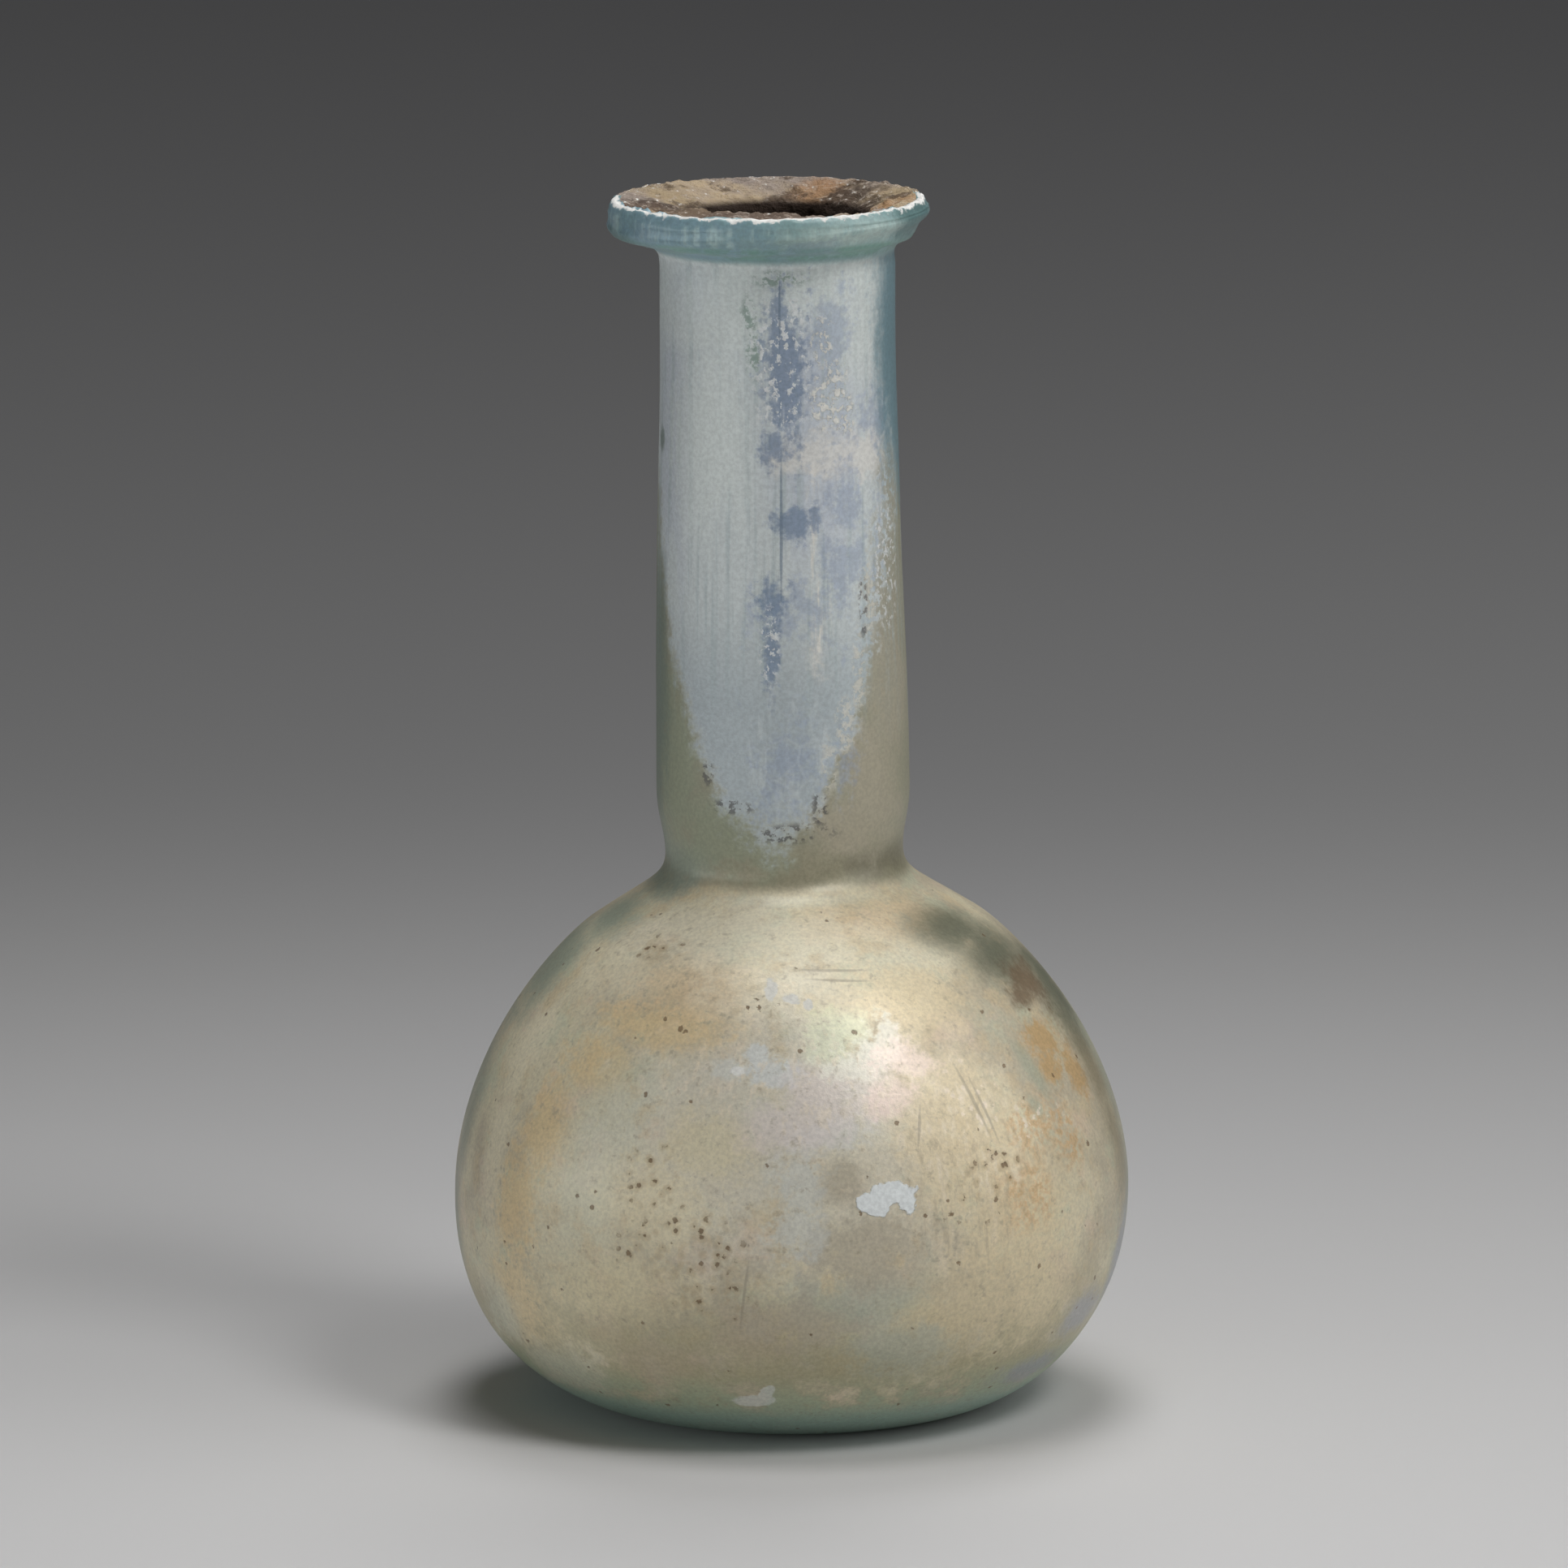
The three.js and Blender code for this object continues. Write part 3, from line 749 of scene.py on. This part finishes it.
def layerMask(tree, layer, textures, height, place):
    mask = spotsMask(tree, layer, textures, place)
    for side, upwards in (("above", 1), ("below", -1)):
        if side in layer:
            level, span = layer[side]
            half = upwards * span / 2
            mask = agree(tree, mask, fade(tree, height, level - half, level + half))
    if "through" in layer:
        name, low, high = layer["through"]
        mask = agree(tree, mask, fade(tree, textures[name], low, high))
    return sums(tree, "MULTIPLY", mask, layer["strength"])


def chalkMask(tree, place, textures):
    rimCentre = asBlown(flask["crestRadius"], 0, flask["height"])[0] - flask["crestRadius"]
    local = addNode(tree, "VectorMath", {0: place, 1: (-rimCentre * mm, 0, 0)}, operation="ADD").outputs[0]
    flat = addNode(tree, "VectorMath", {0: local, 1: (1, 1, 0)}, operation="MULTIPLY").outputs[0]
    radius = addNode(tree, "VectorMath", {0: flat}, operation="LENGTH").outputs["Value"]
    x, y, z = addNode(tree, "SeparateXYZ", {0: local}).outputs
    front = fade(tree, y, *(mm * v for v in mouth["chalkEnds"]), 1, 0)
    tipsFrom = (mm * v for v in mouth["chalkTipsFrom"])
    tips = fade(tree, sums(tree, "ABSOLUTE", x), *tipsFrom, 0, mouth["chalkTips"] * mm)
    width = sums(tree, "MULTIPLY", sums(tree, "ADD", tips, mouth["chalkWide"] * mm), front)
    away = sums(tree, "ABSOLUTE", sums(tree, "SUBTRACT", radius, mouth["chalkRadius"] * mm))
    for name, amount in mouth["chalkRag"].items():
        away = roughen(tree, away, textures[name], amount * mm)
    line = fade(tree, sums(tree, "SUBTRACT", width, away), 0, mouth["chalkSoft"] * mm)
    upper = fade(tree, z, *((flask["height"] - v) * mm for v in mouth["chalkDeep"]))
    return sums(tree, "MULTIPLY", line, upper)


def heightOf(tree, place):
    span = 200  # mm, more than the flask is high
    upright = addNode(tree, "Mapping", {
        "Vector": place, "Rotation": (0, math.pi / 2, 0), "Scale": [1 / (span * mm)] * 3})
    share = addNode(tree, "TexGradient", {"Vector": upright.outputs[0]}).outputs["Fac"]
    return sums(tree, "MULTIPLY", share, span)


def finishPaint(tree, inputs):
    shader = addNode(tree, "BsdfPrincipled", inputs)
    stain = addNode(tree, "VolumeAbsorption", {
        "Color": (*glass["stain"], 1), "Density": glass["stainDensity"]})
    addNode(tree, "OutputMaterial", {"Surface": shader.outputs[0], "Volume": stain.outputs[0]})


def paintGlass():
    material, tree = newMaterial("weathered_glass_outside")
    place = addNode(tree, "TexCoord", {}).outputs["Object"]
    height = heightOf(tree, place)
    textures = makeTextures(tree, place)
    tone = glass["tone"]
    clear, rough, metal = glass["clear"], glass["rough"], glass["metal"]
    relief = 0
    for name, depth in glass["relief"].items():
        relief = sums(tree, "MULTIPLY_ADD", textures[name], depth, relief)
    for name, stated in weatheringAndPaintedLight.items():
        layer = usual | stated
        mask = layerMask(tree, layer, textures, height, place)
        mask.node.label = name
        tone = tint(tree, mask, tone, layer["tone"])
        clear = blend(tree, mask, clear, layer["clear"])
        rough = blend(tree, mask, rough, layer["rough"])
        metal = blend(tree, mask, metal, layer["metal"])
        if "raise" in layer:
            relief = sums(tree, "MULTIPLY_ADD", mask, layer["raise"], relief)
    chalk = chalkMask(tree, place, textures)
    tone = tint(tree, chalk, tone, mouth["chalkTone"])
    clear = blend(tree, chalk, clear, 0.0)
    rough = blend(tree, chalk, rough, mouth["chalkRough"])
    speckle = fade(tree, textures["grain"], 0.3, 0.7, *glass["speckle"])
    shade = addNode(tree, "VectorMath", {0: tone, "Scale": speckle}, operation="SCALE")
    bump = addNode(tree, "Bump", {"Height": relief, "Distance": mm, "Strength": glass["bump"]})
    finishPaint(tree, {
        "Base Color": shade.outputs[0], "Roughness": rough, "Metallic": metal,
        "Transmission Weight": clear, "IOR": glass["ior"], "Coat Weight": glass["coat"],
        "Coat Roughness": glass["coatRough"], "Normal": bump.outputs[0]})
    return material


def paintInside():
    material, tree = newMaterial("film_inside")
    textures = makeTextures(tree, addNode(tree, "TexCoord", {}).outputs["Object"])
    clouds = fade(tree, textures["cloud"], 0.35, 0.65)
    tone = tint(tree, clouds, innerFilm["dark"], innerFilm["light"])
    bump = addNode(tree, "Bump", {"Height": textures["mottle"], "Distance": innerFilm["bump"] * mm})
    finishPaint(tree, {"Base Color": tone, "Roughness": innerFilm["rough"], "Normal": bump.outputs[0]})
    return material


def paintSoilAndShade():
    material, tree = newMaterial("mouth_soil_and_shade")
    place = addNode(tree, "TexCoord", {}).outputs["Object"]
    height = heightOf(tree, place)
    textures = makeTextures(tree, place)
    clouds = fade(tree, textures["cloud"], 0.42, 0.58)
    tone = tint(tree, clouds, mouth["soilGrey"], mouth["soilTan"])
    for stated in soilPatches.values():
        mask = layerMask(tree, usual | stated, textures, height, place)
        tone = tint(tree, mask, tone, stated["tone"])
    for name, low, high, strength, over in soilSpecks:
        tone = tint(tree, fade(tree, textures[name], low, high, 0, strength), tone, over)
    # Painted shade: the bore goes dark below the lip, where the inside of the neck lies in shadow.
    throat = fade(tree, height, *(flask["height"] - v for v in mouth["boreShadeDepth"]))
    tone = tint(tree, throat, tone, mouth["boreShade"])
    tone = tint(tree, chalkMask(tree, place, textures), tone, mouth["chalkTone"])
    bump = addNode(tree, "Bump", {"Height": textures["grain"], "Distance": mouth["soilBump"] * mm})
    finishPaint(tree, {"Base Color": tone, "Roughness": mouth["soilRough"], "Normal": bump.outputs[0]})
    return material


zones = {  # mm: where the glass outside gives way to the soil in the mouth and the film inside
    "rimDepth": 3.2, "overFrontCrest": -0.35, "overBackCrest": 0.6, "backFrom": 3,
    "insideFrom": 1, "innerFloorRadius": 17, "innerFloorTop": 5,
}
skins = {"outside": paintGlass, "inside": paintInside, "soil": paintSoilAndShade}


def skinOf(place, facing):
    z = zones
    radius = math.hypot(place.x, place.y)
    away = facing.x * place.x + facing.y * place.y
    crest = flask["crestRadius"] + z["overFrontCrest" if place.y < z["backFrom"] else "overBackCrest"]
    onRim = place.z > flask["height"] - z["rimDepth"]
    if onRim and radius > crest:
        return "outside"
    if onRim and facing.z > 0 or place.z > flask["soilFrom"] and away < 0:
        return "soil"
    onInnerFloor = radius < z["innerFloorRadius"] and place.z < z["innerFloorTop"]
    if place.z > z["insideFrom"] and (away < 0 or onInnerFloor):
        return "inside"
    return "outside"


for paint in skins.values():
    mesh.materials.append(paint())
for face in mesh.polygons:
    middle = sum((trueForm[v] for v in face.vertices), Vector()) / len(face.vertices)
    facing = sum((outward[v] for v in face.vertices), Vector())
    face.material_index = list(skins).index(skinOf(middle, facing))
print("weathering painted")

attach(glassFlask, "root")
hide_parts("glass_flask")
